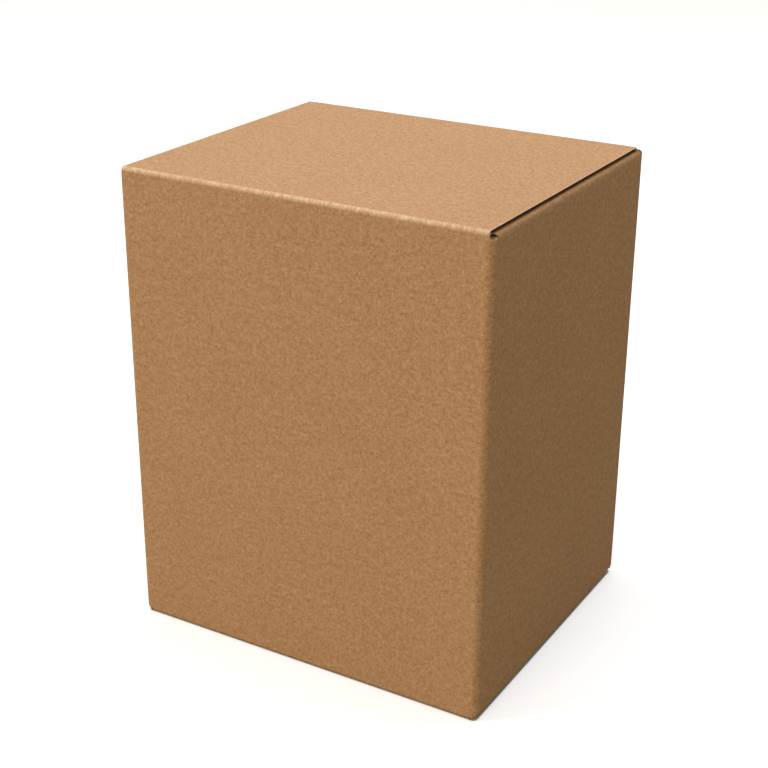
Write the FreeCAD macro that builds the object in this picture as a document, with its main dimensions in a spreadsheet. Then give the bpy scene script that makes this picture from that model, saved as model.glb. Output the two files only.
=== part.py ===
"""Tuck-top carton of kraft corrugated board, about 163 x 138 x 200 mm, shut.

The carton is one die-cut sheet, folded and glued at a hidden corner. The front panel
is at -Y, the right side panel at +X, and the origin is at the middle of the base.
Its floor is a snap lock: rear flap inside, side flaps next, front flap outermost with
a tongue that climbs through the notch of the rear flap. Two dust flaps fold in at the
top, and the lid, hinged on the front panel, covers them and tucks in at the rear.
"""
import FreeCAD, Part

import math
import os

import Sketcher

DOCUMENT = FreeCAD.newDocument("tuck_top_carton")
SHEET = DOCUMENT.addObject("Spreadsheet::Sheet", "Sizes")

# Driving dimensions in millimetres, and one angle in degrees
SIZES = [
    ("box_width", 163, "outside, left to right"),
    ("box_depth", 138, "outside, front to rear"),
    ("box_height", 200, "outside, floor to lid"),
    ("board", 1.6, "thickness of the corrugated board"),
    ("wall_bend", 1.4, "inner radius of the upright folds"),
    ("floor_bend", 0.6, "inner radius of the folds into the floor flaps"),
    ("dust_bend", 0.5, "inner radius of the dust flap folds"),
    ("lid_bend", 0.4, "inner radius of the fold that carries the lid"),
    ("tuck_bend", 0.5, "inner radius of the fold between lid and tuck flap"),
    ("layer_gap", 0.2, "between floor flaps that lie on each other"),
    ("lid_gap", 0.35, "between the lid and the board that it moves past"),
    ("crease_gap", 0.3, "across the crease between front panel and lid"),
    ("relief", 0.4, "die-cut notch past the round of each upright fold"),
    ("relief_drop", 1.0, "top of the upright folds below the lid's underside"),
    ("rear_drop", 1.6, "raw top edge of the rear panel below the lid's top"),
    ("fold_zone", 9, "height of wall that is drawn with each flap"),
    ("lid_inset", 1.8, "lid's side edges in from the side panels"),
    ("tuck_inset", 3, "tuck flap's side edges in from the lid's"),
    ("tuck_reach", 20, "tuck flap, from its fold to its tip"),
    ("tuck_lean", 5.5, "degrees that the tuck flap leans in past square"),
    ("tuck_corner", 10, "rounding of the tuck flap's corners"),
    ("dust_reach", 60, "dust flap, from the side panel to its tip"),
    ("dust_front", 5, "dust flap's tip in from the front"),
    ("dust_rear", 8, "dust flap's rear edge in from the rear"),
    ("dust_shoulder", 5, "slope that narrows the dust flap behind its fold"),
    ("dust_corner", 12, "rounding of the dust flap's corners"),
    ("floor_step", 1, "floor flaps' side edges in from the notches"),
    ("front_reach", 67, "front floor flap, from the front to its shoulders"),
    ("tongue_width", 56, "tongue of the front floor flap"),
    ("tongue_run", 12, "length over which the tongue climbs"),
    ("tongue_tip", 16, "tongue on top of the rear flap"),
    ("tongue_corner", 8, "rounding of the tongue"),
    ("side_reach", 48, "side floor flap, from the side panel to its tip"),
    ("side_tip", 46, "straight tip of the side floor flap"),
    ("side_front", 5, "side floor flap's tip in from the front"),
    ("side_corner", 6, "corners of the side floor flap"),
    ("rear_reach", 80, "rear floor flap, from the rear to the tips of its legs"),
    ("rear_corner", 10, "rounding of the rear flap's legs"),
    ("notch_play", 1.5, "rear flap's notch beyond each side of the tongue"),
    ("glue_width", 30, "glue flap, behind the left panel's rear edge"),
    ("glue_inset", 12, "glue flap's ends in from floor and lid, at its fold"),
    ("glue_slope", 8, "further drop of those ends at the flap's free edge"),
]

# Two small lengths that only the cuts use
OVERCUT = 0.3
MARGIN = 5


class Size:
    """A number together with the sheet formula that gives it."""

    def __init__(self, number, formula):
        self.number = number
        self.formula = formula

    def __add__(self, other):
        other = as_size(other)
        return Size(self.number + other.number, f"({self.formula} + {other.formula})")

    def __sub__(self, other):
        other = as_size(other)
        return Size(self.number - other.number, f"({self.formula} - {other.formula})")

    def __mul__(self, other):
        other = as_size(other)
        return Size(self.number * other.number, f"({self.formula} * {other.formula})")

    def __truediv__(self, other):
        other = as_size(other)
        return Size(self.number / other.number, f"({self.formula} / {other.formula})")

    def __neg__(self):
        return Size(-self.number, f"(0 - {self.formula})")


def as_size(value):
    return value if isinstance(value, Size) else Size(value, str(value))


def root(size):
    return Size(math.sqrt(size.number), f"sqrt({size.formula})")


def sine(angle):
    return Size(math.sin(math.radians(angle.number)), f"sin({angle.formula})")


def cosine(angle):
    return Size(math.cos(math.radians(angle.number)), f"cos({angle.formula})")


def fill_sheet():
    """Write the driving dimensions into the sheet and return them by name."""
    named = {}
    for row, (alias, number, meaning) in enumerate(SIZES, start=1):
        SHEET.set(f"A{row}", alias)
        SHEET.set(f"B{row}", str(number))
        SHEET.setAlias(f"B{row}", alias)
        SHEET.set(f"C{row}", meaning)
        named[alias] = Size(number, f"Sizes.{alias}")
    DOCUMENT.recompute()
    return named


S = fill_sheet()

# Places worked out from the driving dimensions
BOARD = S["board"]
RIGHT = S["box_width"] / 2
LEFT = -RIGHT
REAR = S["box_depth"] / 2
FRONT = -REAR
TOP = S["box_height"]
WALL_RADIUS = S["wall_bend"] + BOARD
FLOOR_RADIUS = S["floor_bend"] + BOARD
DUST_RADIUS = S["dust_bend"] + BOARD
LID_RADIUS = S["lid_bend"] + BOARD
TUCK_RADIUS = S["tuck_bend"] + BOARD
LAYER = BOARD + S["layer_gap"]
FOLD_SIDE = RIGHT - WALL_RADIUS - S["relief"]
FOLD_END = REAR - WALL_RADIUS - S["relief"]
LID_UNDER = TOP - BOARD
DUST_TOP = LID_UNDER - S["lid_gap"]
COLUMN_TOP = LID_UNDER - S["relief_drop"]
ZONE_TOP = TOP - S["fold_zone"]
LID_SIDE = RIGHT - S["lid_inset"]
LID_REAR = REAR - BOARD - S["lid_gap"]
TUCK_SIDE = LID_SIDE - S["tuck_inset"]
TONGUE_SIDE = S["tongue_width"] / 2
SHOULDER_Y = FRONT + S["front_reach"]
LOCK_Y = SHOULDER_Y + S["tongue_run"]
TONGUE_Y = LOCK_Y + S["tongue_tip"]


def arc_between(start, end, radius, way):
    """The short arc from start to end, counter-clockwise if way is 1."""
    chord = end - start
    side = FreeCAD.Vector(-chord.y, chord.x, 0).normalize()
    rise = math.sqrt(max(radius ** 2 - (chord.Length / 2) ** 2, 0))
    centre = (start + end) * 0.5 + side * (way * rise)
    ends = (start, end) if way == 1 else (end, start)
    first, last = [math.atan2(point.y - centre.y, point.x - centre.x) for point in ends]
    if last < first:
        last += 2 * math.pi
    circle = Part.Circle(centre, FreeCAD.Vector(0, 0, 1), radius)
    return Part.ArcOfCircle(circle, first, last)


def drive(sketch, constraint, size):
    """Add a constraint whose value is the size's formula."""
    index = sketch.addConstraint(constraint)
    sketch.setExpression(f"Constraints[{index}]", size.formula)


def draw(sketch, vertices):
    """Draw a closed outline, each vertex placed from the sketch's origin.

    A vertex is (u, v), or (u, v, radius, way) where an arc leaves it, and way is 1
    for a counter-clockwise arc and -1 for a clockwise one.
    """
    first = sketch.GeometryCount
    count = len(vertices)
    followers = vertices[1:] + vertices[:1]
    for vertex, follower in zip(vertices, followers):
        start = FreeCAD.Vector(vertex[0].number, vertex[1].number, 0)
        end = FreeCAD.Vector(follower[0].number, follower[1].number, 0)
        if len(vertex) == 4:
            sketch.addGeometry(arc_between(start, end, vertex[2].number, vertex[3]), False)
        else:
            sketch.addGeometry(Part.LineSegment(start, end), False)
    # A sketch keeps every arc counter-clockwise, so a clockwise one starts at its end
    starts = [2 if len(vertex) == 4 and vertex[3] == -1 else 1 for vertex in vertices]
    for place in range(count):
        follower = (place + 1) % count
        here = (first + place, 3 - starts[place])
        there = (first + follower, starts[follower])
        sketch.addConstraint(Sketcher.Constraint("Coincident", *here, *there))
    for place, vertex in enumerate(vertices):
        edge = first + place
        point = (-1, 1, edge, starts[place])
        drive(sketch, Sketcher.Constraint("DistanceX", *point, vertex[0].number), vertex[0])
        drive(sketch, Sketcher.Constraint("DistanceY", *point, vertex[1].number), vertex[1])
        if len(vertex) == 4:
            radius = vertex[2]
            drive(sketch, Sketcher.Constraint("Radius", edge, radius.number), radius)


def rectangle(left, right, low, high):
    return [(left, low), (right, low), (right, high), (left, high)]


def new_body(name):
    return DOCUMENT.addObject("PartDesign::Body", name)


def sketch_on(body, plane, name, outlines, offset=None):
    """A sketch on one of the body's own origin planes, moved along its normal."""
    sketch = body.newObject("Sketcher::SketchObject", name)
    support = [part for part in body.Origin.OriginFeatures if part.Role == plane][0]
    sketch.AttachmentSupport = [(support, "")]
    sketch.MapMode = "FlatFace"
    if offset is not None:
        sketch.setExpression("AttachmentOffset.Base.z", offset.formula)
    for outline in outlines:
        draw(sketch, outline)
    return sketch


def pad(body, sketch, length, symmetric=False):
    feature = body.newObject("PartDesign::Pad", f"{sketch.Name}_pad")
    feature.Profile = sketch
    feature.setExpression("Length", length.formula)
    feature.SideType = "Symmetric" if symmetric else "One side"
    return feature


def pocket_upward(body, sketch, height):
    feature = body.newObject("PartDesign::Pocket", f"{sketch.Name}_pocket")
    feature.Profile = sketch
    feature.setExpression("Length", height.formula)
    feature.Reversed = True
    return feature


def trim_to(body, plane, name, outline):
    """Cut away all of the body that lies outside the outline, seen square to the plane."""
    reach = S["box_width"] + S["box_depth"] + S["box_height"]
    frame = rectangle(-reach, reach, -reach, reach)
    sketch = sketch_on(body, plane, name, [frame, outline])
    feature = body.newObject("PartDesign::Pocket", f"{name}_pocket")
    feature.Profile = sketch
    feature.setExpression("Length", (reach * 2).formula)
    feature.SideType = "Symmetric"
    return feature


def mirrored_left(source, name):
    """The same flap on the left side panel."""
    mirror = DOCUMENT.addObject("Part::Mirroring", name)
    mirror.Source = source
    mirror.Normal = FreeCAD.Vector(1, 0, 0)
    return mirror


def wall_tube():
    """The four panels, bent round the upright folds, as high as the folds reach.

    The strip starts at the left panel's raw rear edge and ends where the glue flap
    leaves the rear left fold. Under and over the panels it is cut away for the strips
    that turn into the floor flaps and dust flaps.
    """
    body = new_body("wall_tube")
    bend = S["wall_bend"]
    radius = WALL_RADIUS
    inner_left = LEFT + BOARD
    section = [
        (LEFT, FRONT + radius, radius, 1),
        (LEFT + radius, FRONT),
        (RIGHT - radius, FRONT, radius, 1),
        (RIGHT, FRONT + radius),
        (RIGHT, REAR - radius, radius, 1),
        (RIGHT - radius, REAR),
        (inner_left + radius, REAR, radius, 1),
        (inner_left, REAR - radius),
        (inner_left + BOARD, REAR - radius, bend, -1),
        (inner_left + radius, REAR - BOARD),
        (RIGHT - radius, REAR - BOARD, bend, -1),
        (RIGHT - BOARD, REAR - radius),
        (RIGHT - BOARD, FRONT + radius, bend, -1),
        (RIGHT - radius, FRONT + BOARD),
        (LEFT + radius, FRONT + BOARD, bend, -1),
        (inner_left, FRONT + radius),
        (inner_left, FOLD_END),
        (LEFT, FOLD_END),
    ]
    pad(body, sketch_on(body, "XY_Plane", "tube_section", [section]), COLUMN_TOP)

    inner = BOARD + OVERCUT
    front_strip = rectangle(-FOLD_SIDE, FOLD_SIDE, FRONT - OVERCUT, FRONT + inner)
    rear_strip = rectangle(BOARD - FOLD_SIDE, FOLD_SIDE, REAR - inner, REAR + OVERCUT)
    right_strip = rectangle(RIGHT - inner, RIGHT + OVERCUT, -FOLD_END, FOLD_END)
    left_strip = rectangle(LEFT - OVERCUT, LEFT + inner, -FOLD_END, FOLD_END + OVERCUT / 2)
    floor_strips = [front_strip, rear_strip, right_strip, left_strip]
    floor_cut = sketch_on(body, "XY_Plane", "floor_cut", floor_strips)
    pocket_upward(body, floor_cut, S["fold_zone"])
    dust_cut = sketch_on(body, "XY_Plane", "dust_cut", [right_strip, left_strip], ZONE_TOP)
    pocket_upward(body, dust_cut, S["fold_zone"])
    return body


def glue_flap():
    """The flap that holds the left panel, glued to the panel's inner face."""
    body = new_body("glue_flap")
    free_edge = REAR - S["glue_width"]
    fold = REAR - WALL_RADIUS
    low = S["glue_inset"]
    high = TOP - S["glue_inset"]
    slope = S["glue_slope"]
    outline = [
        (fold, low),
        (fold, high),
        (free_edge, high - slope),
        (free_edge, low + slope),
    ]
    sketch = sketch_on(body, "YZ_Plane", "glue_outline", [outline], LEFT + BOARD)
    pad(body, sketch, BOARD)
    return body


def rear_edge():
    """The rear panel above its upright folds, up to its raw top edge."""
    body = new_body("rear_edge")
    outline = rectangle(BOARD - LID_SIDE, LID_SIDE, COLUMN_TOP, TOP - S["rear_drop"])
    pad(body, sketch_on(body, "XZ_Plane", "rear_edge_outline", [outline], -REAR), BOARD)
    return body


def mitre_point(radius, side):
    """A point of the lid's fold, half a crease gap off the 45 degree mitre.

    The fold's centre is one fold radius in from the front and the top, and side is 1
    for the lid's half of the fold and -1 for the front panel's half.
    """
    half_gap = S["crease_gap"] / 2
    diagonal = root(as_size(2))
    along = root(radius * radius - half_gap * half_gap) / diagonal
    across = half_gap * side / diagonal
    return FRONT + LID_RADIUS - along + across, TOP - LID_RADIUS + along + across


def front_edge():
    """The front panel above its upright folds, with its half of the lid's fold."""
    body = new_body("front_edge")
    tangent = TOP - LID_RADIUS
    outer_y, outer_z = mitre_point(LID_RADIUS, -1)
    inner_y, inner_z = mitre_point(S["lid_bend"], -1)
    profile = [
        (FRONT, COLUMN_TOP),
        (FRONT + BOARD, COLUMN_TOP),
        (FRONT + BOARD, tangent, S["lid_bend"], -1),
        (inner_y, inner_z),
        (outer_y, outer_z, LID_RADIUS, 1),
        (FRONT, tangent),
    ]
    sketch = sketch_on(body, "YZ_Plane", "front_edge_profile", [profile])
    pad(body, sketch, LID_SIDE * 2, symmetric=True)
    return body


def dust_flap():
    """The right dust flap and the strip of side panel that turns into it."""
    body = new_body("dust_flap_right")
    tip = RIGHT - S["dust_reach"]
    fold = RIGHT - DUST_RADIUS
    tangent = DUST_TOP - DUST_RADIUS
    profile = [
        (RIGHT, ZONE_TOP),
        (RIGHT, tangent, DUST_RADIUS, 1),
        (fold, DUST_TOP),
        (tip, DUST_TOP),
        (tip, DUST_TOP - BOARD),
        (fold, DUST_TOP - BOARD, S["dust_bend"], -1),
        (RIGHT - BOARD, tangent),
        (RIGHT - BOARD, ZONE_TOP),
    ]
    sketch = sketch_on(body, "XZ_Plane", "dust_profile", [profile])
    pad(body, sketch, FOLD_END * 2, symmetric=True)

    corner = S["dust_corner"]
    front = FRONT + S["dust_front"]
    rear = REAR - S["dust_rear"]
    blank = [
        (RIGHT + MARGIN, -FOLD_END),
        (RIGHT + MARGIN, FOLD_END),
        (fold, FOLD_END),
        (fold - S["dust_shoulder"], rear),
        (tip + corner, rear, corner, 1),
        (tip, rear - corner),
        (tip, front + corner, corner, 1),
        (tip + corner, front),
        (fold, -FOLD_END),
    ]
    trim_to(body, "XY_Plane", "dust_blank", blank)
    return body


def side_floor_flap():
    """The right floor flap, in the middle layer, with its strip of side panel."""
    body = new_body("floor_flap_right")
    tip = RIGHT - S["side_reach"]
    fold = RIGHT - FLOOR_RADIUS
    tangent = LAYER + FLOOR_RADIUS
    profile = [
        (RIGHT, S["fold_zone"]),
        (RIGHT - BOARD, S["fold_zone"]),
        (RIGHT - BOARD, tangent, S["floor_bend"], -1),
        (fold, LAYER + BOARD),
        (tip, LAYER + BOARD),
        (tip, LAYER),
        (fold, LAYER, FLOOR_RADIUS, 1),
        (RIGHT, tangent),
    ]
    sketch = sketch_on(body, "XZ_Plane", "side_floor_profile", [profile])
    pad(body, sketch, FOLD_END * 2, symmetric=True)

    corner = S["side_corner"]
    front = FRONT + S["side_front"]
    blank = [
        (RIGHT + MARGIN, -FOLD_END),
        (RIGHT + MARGIN, FOLD_END),
        (fold, FOLD_END),
        (fold - corner, FOLD_END - corner),
        (tip, front + S["side_tip"]),
        (tip, front + corner, corner, 1),
        (tip + corner, front),
        (fold, -FOLD_END),
    ]
    trim_to(body, "XY_Plane", "side_floor_blank", blank)
    return body


def front_floor_flap():
    """The outermost floor flap, whose tongue climbs over the rear flap."""
    body = new_body("floor_flap_front")
    fold = FRONT + FLOOR_RADIUS
    climb = LAYER * 3
    slant = root(S["tongue_run"] * S["tongue_run"] + climb * climb)
    # The bends of the upper face lie this far before those of the lower one
    lead = BOARD * (slant - S["tongue_run"]) / climb
    profile = [
        (FRONT, S["fold_zone"]),
        (FRONT, FLOOR_RADIUS, FLOOR_RADIUS, 1),
        (fold, as_size(0)),
        (SHOULDER_Y, as_size(0)),
        (LOCK_Y, climb),
        (TONGUE_Y, climb),
        (TONGUE_Y, climb + BOARD),
        (LOCK_Y - lead, climb + BOARD),
        (SHOULDER_Y - lead, BOARD),
        (fold, BOARD, S["floor_bend"], -1),
        (FRONT + BOARD, FLOOR_RADIUS),
        (FRONT + BOARD, S["fold_zone"]),
    ]
    sketch = sketch_on(body, "YZ_Plane", "front_floor_profile", [profile])
    pad(body, sketch, FOLD_SIDE * 2, symmetric=True)

    step = S["floor_step"]
    corner = S["tongue_corner"]
    shoulder = SHOULDER_Y - corner
    side = FOLD_SIDE - step
    blank = [
        (-FOLD_SIDE, FRONT - MARGIN),
        (FOLD_SIDE, FRONT - MARGIN),
        (FOLD_SIDE, fold),
        (side, fold + step),
        (side, shoulder, corner, 1),
        (side - corner, SHOULDER_Y),
        (TONGUE_SIDE, SHOULDER_Y),
        (TONGUE_SIDE, TONGUE_Y - corner, corner, 1),
        (TONGUE_SIDE - corner, TONGUE_Y),
        (corner - TONGUE_SIDE, TONGUE_Y, corner, 1),
        (-TONGUE_SIDE, TONGUE_Y - corner),
        (-TONGUE_SIDE, SHOULDER_Y),
        (corner - side, SHOULDER_Y, corner, 1),
        (-side, shoulder),
        (-side, fold + step),
        (-FOLD_SIDE, fold),
    ]
    trim_to(body, "XY_Plane", "front_floor_blank", blank)
    return body


def rear_floor_flap():
    """The innermost floor flap, two legs with the notch for the tongue between them."""
    body = new_body("floor_flap_rear")
    fold = REAR - FLOOR_RADIUS
    leg_y = REAR - S["rear_reach"]
    low = LAYER * 2
    tangent = low + FLOOR_RADIUS
    profile = [
        (REAR, S["fold_zone"]),
        (REAR - BOARD, S["fold_zone"]),
        (REAR - BOARD, tangent, S["floor_bend"], -1),
        (fold, low + BOARD),
        (leg_y, low + BOARD),
        (leg_y, low),
        (fold, low, FLOOR_RADIUS, 1),
        (REAR, tangent),
    ]
    sketch = sketch_on(body, "YZ_Plane", "rear_floor_profile", [profile])
    pad(body, sketch, FOLD_SIDE * 2, symmetric=True)

    step = S["floor_step"]
    corner = S["rear_corner"]
    side = FOLD_SIDE - step
    left_fold = BOARD - FOLD_SIDE
    left_side = BOARD - side
    notch_side = TONGUE_SIDE + S["notch_play"]
    notch_y = LOCK_Y + S["layer_gap"]
    blank = [
        (FOLD_SIDE, REAR + MARGIN),
        (left_fold, REAR + MARGIN),
        (left_fold, fold),
        (left_side, fold - step),
        (left_side, leg_y + corner, corner, 1),
        (left_side + corner, leg_y),
        (-notch_side, leg_y),
        (-notch_side, notch_y),
        (notch_side, notch_y),
        (notch_side, leg_y),
        (side - corner, leg_y, corner, 1),
        (side, leg_y + corner),
        (side, fold - step),
        (FOLD_SIDE, fold),
    ]
    trim_to(body, "XY_Plane", "rear_floor_blank", blank)
    return body


def lid():
    """The lid from its half of the front fold to the tip of its tuck flap."""
    body = new_body("lid")
    lean = S["tuck_lean"]
    reach = S["tuck_reach"]
    bend_y = LID_REAR - TUCK_RADIUS
    bend_z = TOP - TUCK_RADIUS
    outer_y, outer_z = mitre_point(LID_RADIUS, 1)
    inner_y, inner_z = mitre_point(S["lid_bend"], 1)
    outer_end_y = bend_y + TUCK_RADIUS * cosine(lean)
    outer_end_z = bend_z - TUCK_RADIUS * sine(lean)
    inner_end_y = bend_y + S["tuck_bend"] * cosine(lean)
    inner_end_z = bend_z - S["tuck_bend"] * sine(lean)
    profile = [
        (FRONT + LID_RADIUS, TOP, LID_RADIUS, 1),
        (outer_y, outer_z),
        (inner_y, inner_z, S["lid_bend"], -1),
        (FRONT + LID_RADIUS, LID_UNDER),
        (bend_y, LID_UNDER, S["tuck_bend"], -1),
        (inner_end_y, inner_end_z),
        (inner_end_y - reach * sine(lean), inner_end_z - reach * cosine(lean)),
        (outer_end_y - reach * sine(lean), outer_end_z - reach * cosine(lean)),
        (outer_end_y, outer_end_z, TUCK_RADIUS, 1),
        (bend_y, TOP),
    ]
    sketch = sketch_on(body, "YZ_Plane", "lid_profile", [profile])
    pad(body, sketch, LID_SIDE * 2, symmetric=True)

    blank = [
        (-LID_SIDE, FRONT - MARGIN),
        (LID_SIDE, FRONT - MARGIN),
        (LID_SIDE, bend_y),
        (TUCK_SIDE, bend_y),
        (TUCK_SIDE, REAR + MARGIN),
        (-TUCK_SIDE, REAR + MARGIN),
        (-TUCK_SIDE, bend_y),
        (-LID_SIDE, bend_y),
    ]
    trim_to(body, "XY_Plane", "lid_blank", blank)

    corner = S["tuck_corner"]
    low = outer_end_z - reach * cosine(lean)
    wide = LID_SIDE + MARGIN
    tuck = [
        (TUCK_SIDE - corner, low, corner, 1),
        (TUCK_SIDE, low + corner),
        (TUCK_SIDE, bend_z),
        (wide, bend_z),
        (wide, TOP + MARGIN),
        (-wide, TOP + MARGIN),
        (-wide, bend_z),
        (-TUCK_SIDE, bend_z),
        (-TUCK_SIDE, low + corner, corner, 1),
        (corner - TUCK_SIDE, low),
    ]
    trim_to(body, "XZ_Plane", "tuck_outline", tuck)
    return body


def carton_body():
    """Everything but the lid: one sheet, held closed by its glued flap."""
    right_dust = dust_flap()
    right_floor = side_floor_flap()
    sheet = DOCUMENT.addObject("Part::MultiFuse", "carton_body")
    sheet.Shapes = [
        wall_tube(),
        glue_flap(),
        rear_edge(),
        front_edge(),
        right_dust,
        mirrored_left(right_dust, "dust_flap_left"),
        right_floor,
        mirrored_left(right_floor, "floor_flap_left"),
        front_floor_flap(),
        rear_floor_flap(),
    ]
    sheet.Refine = True
    return sheet


def check_and_write(parts):
    """Stop if anything failed, then write one STEP file for each sub-part."""
    DOCUMENT.recompute()
    for item in DOCUMENT.Objects:
        if "Invalid" in item.State or "Error" in item.State:
            raise RuntimeError(f"{item.Name} could not be computed: {item.State}")
    for part in parts:
        if part.Shape.isNull() or not part.Shape.isValid():
            raise RuntimeError(f"{part.Label} has no valid shape")
    os.makedirs("parts", exist_ok=True)
    for part in parts:
        part.Shape.exportStep(f"parts/{part.Label}.step")
        solids = len(part.Shape.Solids)
        print(f"{part.Label}: {solids} solid, {part.Shape.Volume / 1000:.2f} cm3")


PARTS = [carton_body(), lid()]
check_and_write(PARTS)
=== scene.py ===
"""Looks of the tuck-top carton: folded corrugated board in brown kraft.

The board is modelled flat, as the die-cut blank, and then folded. A place on the blank
is (u, v, depth): u runs round the four panels, v runs up along the flutes, and depth is
measured in from the outer liner. Every length is in metres.
"""

import math

import bmesh
import bpy
from mathutils import Matrix, Vector
from mathutils.geometry import delaunay_2d_cdt


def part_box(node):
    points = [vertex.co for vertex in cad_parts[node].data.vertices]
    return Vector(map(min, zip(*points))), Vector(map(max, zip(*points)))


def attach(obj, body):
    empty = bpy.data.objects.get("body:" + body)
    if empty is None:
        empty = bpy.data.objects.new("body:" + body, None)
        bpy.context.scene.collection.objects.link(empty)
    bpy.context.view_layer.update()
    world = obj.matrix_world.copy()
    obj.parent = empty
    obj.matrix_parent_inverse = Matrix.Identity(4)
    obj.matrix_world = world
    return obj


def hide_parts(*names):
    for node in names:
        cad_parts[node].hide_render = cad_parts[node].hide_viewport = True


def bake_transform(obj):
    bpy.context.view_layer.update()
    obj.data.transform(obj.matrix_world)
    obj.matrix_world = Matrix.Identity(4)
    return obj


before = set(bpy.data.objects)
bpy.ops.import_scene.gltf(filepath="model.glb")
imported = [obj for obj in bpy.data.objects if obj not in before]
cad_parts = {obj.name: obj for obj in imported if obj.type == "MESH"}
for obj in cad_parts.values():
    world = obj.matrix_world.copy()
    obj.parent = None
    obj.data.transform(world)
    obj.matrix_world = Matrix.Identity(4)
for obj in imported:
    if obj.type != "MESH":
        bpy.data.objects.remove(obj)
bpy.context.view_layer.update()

MM = 0.001
QUARTER = math.pi / 2

# The carton's outside, from the frame
CARTON_LOW, CARTON_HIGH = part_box("carton_body")
LID_LOW, LID_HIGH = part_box("lid")
RIGHT = CARTON_HIGH[0]
LEFT = CARTON_LOW[0]
REAR = CARTON_HIGH[1]
FRONT = CARTON_LOW[1]
TOP = LID_HIGH[2]
LID_SIDE = LID_HIGH[0]
LID_REAR = LID_HIGH[1]

# Board and folds
BOARD = 1.6 * MM
LINER = 0.18 * MM
WALL_RADIUS = 3.0 * MM
FLOOR_RADIUS = 2.2 * MM
DUST_RADIUS = 1.4 * MM
LID_RADIUS = 1.3 * MM
TUCK_RADIUS = 2.1 * MM
RELIEF = 0.4 * MM
SLIT = 0.3 * MM
LAYER = 1.8 * MM
LID_GAP = 0.15 * MM
COLUMN_TOP = TOP - BOARD - 1.0 * MM
REAR_TOP = TOP - BOARD
DUST_TANGENT = TOP - BOARD - LID_GAP - DUST_RADIUS

# The raw ends of the upright folds stop short of the floor and lean in a little
COLUMN_LIFT = 0.4 * MM
LOW_LEAN = 0.8 * MM
LOW_LEAN_RUN = 1.8 * MM
HIGH_LEAN = 0.5 * MM
HIGH_LEAN_RUN = 0.9 * MM

# Floor flaps, as distances in from the walls or along them
FLOOR_STEP = 1.0 * MM
FRONT_REACH = 67 * MM
TONGUE_SIDE = 28 * MM
TONGUE_RUN = 12 * MM
TONGUE_TIP = 16 * MM
TONGUE_CORNER = 8 * MM
SIDE_REACH = 48 * MM
SIDE_TIP = 46 * MM
SIDE_FRONT = 5 * MM
SIDE_CORNER = 6 * MM
REAR_REACH = 80 * MM
REAR_CORNER = 10 * MM
NOTCH_SIDE = 29.5 * MM
NOTCH_PLAY = 0.2 * MM
NOTCH_REACH = REAR - (FRONT + FRONT_REACH + TONGUE_RUN + NOTCH_PLAY)

# Dust flaps, glue flap and tuck flap
DUST_REACH = 60 * MM
DUST_FRONT = 5 * MM
DUST_REAR = 8 * MM
DUST_SHOULDER = 5 * MM
DUST_CORNER = 12 * MM
GLUE_WIDTH = 30 * MM
GLUE_INSET = 12 * MM
GLUE_SLOPE = 8 * MM
TUCK_SIDE = LID_SIDE - 3 * MM
TUCK_REACH = 20 * MM
TUCK_LEAN = math.radians(5.5)
TUCK_CORNER = 10 * MM

# Cut edges show a channel between the liners, with the fluted medium in it
CHANNEL = 2.4 * MM
NARROW_CHANNEL = 1.2 * MM
REAR_CHANNEL = 2.0 * MM
SOLID = 0.0
FLUTE_PITCH = 3.3 * MM
MEDIUM = 0.16 * MM
MEDIUM_SET_BACK = 0.12 * MM
WAVE = (BOARD - 2 * LINER - MEDIUM) / 2
FLUTE_STEP = FLUTE_PITCH / 10

# Flutes show in a cut edge of this length or more, unless it climbs steeper than this
SHORTEST_RUN = 1.0 * MM
STEEPEST_RUN = 0.6

# A fold tighter than the board is thick crushes it, over a little way to each side
CRUSH_SPREAD = 1.6 * MM
CRUSHED_CORE = 0.12 * MM

# The crease lies just inside the boards, in steps to both sides of the mitre.
CREASE_INSET = 0.2 * MM
CREASE_DEPTH = 0.03 * MM
CREASE_STEPS = [step * MM for step in (-0.6, -0.39, -0.25, -0.12, -0.03, 0.03, 0.12, 0.25, 0.39, 0.6)]

# Fineness of the meshes
BEND_STEPS = 10
BEND_MARGIN = 0.4 * MM
MARGIN_STEPS = 4
ARC_STEPS = 8
SAME_POINT = 0.001 * MM
CUT_TOLERANCE = 1e-5
NEARLY_STRAIGHT = 0.05
SHARP = math.radians(18)

# Liner colour; its paler look, which is a painted highlight along the lid's fold, the lid's
# cut rims and the upright folds' tops; and its browner look, which is painted shade on the
# dust flaps' folds. The cut core is darker than the liners, from about the middle of each
# liner's thickness: partly the medium's darker brown and partly painted shade in the flutes.
KRAFT = (0.62, 0.368, 0.203)
HIGHLIGHT_KRAFT = (0.77, 0.53, 0.35)
DUST_FOLD_SHADE_KRAFT = (0.51, 0.28, 0.13)
CORE_PAINTED_SHADE = 0.36
CORE_EASE = (0.4, 0.6)
BOARD_ROUGHNESS = 0.82
BOARD_SPECULAR = 0.25

# Half widths of the bands of painted highlight and painted shade. BAND_CORE is the share of each
# at full strength, and the dust flap's share is the place in its bend that is the middle of the
# painted shade.
BAND_CORE = 0.4
FOLD_BAND = 1.0 * MM
CRUSHED_BAND = 2.0 * MM
DUST_SHADE_BAND = 1.1 * MM
DUST_SHADE_SHARE = 0.8
COLUMN_BAND = 1.2 * MM
COLUMN_EASE = 0.4 * MM
RIM_BAND = 0.7 * MM
RIM_EASE = 1.0 * MM
# Strength of the painted highlight along the lid's cut rims
RIM_HIGHLIGHT_STRENGTH = 0.6

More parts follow.
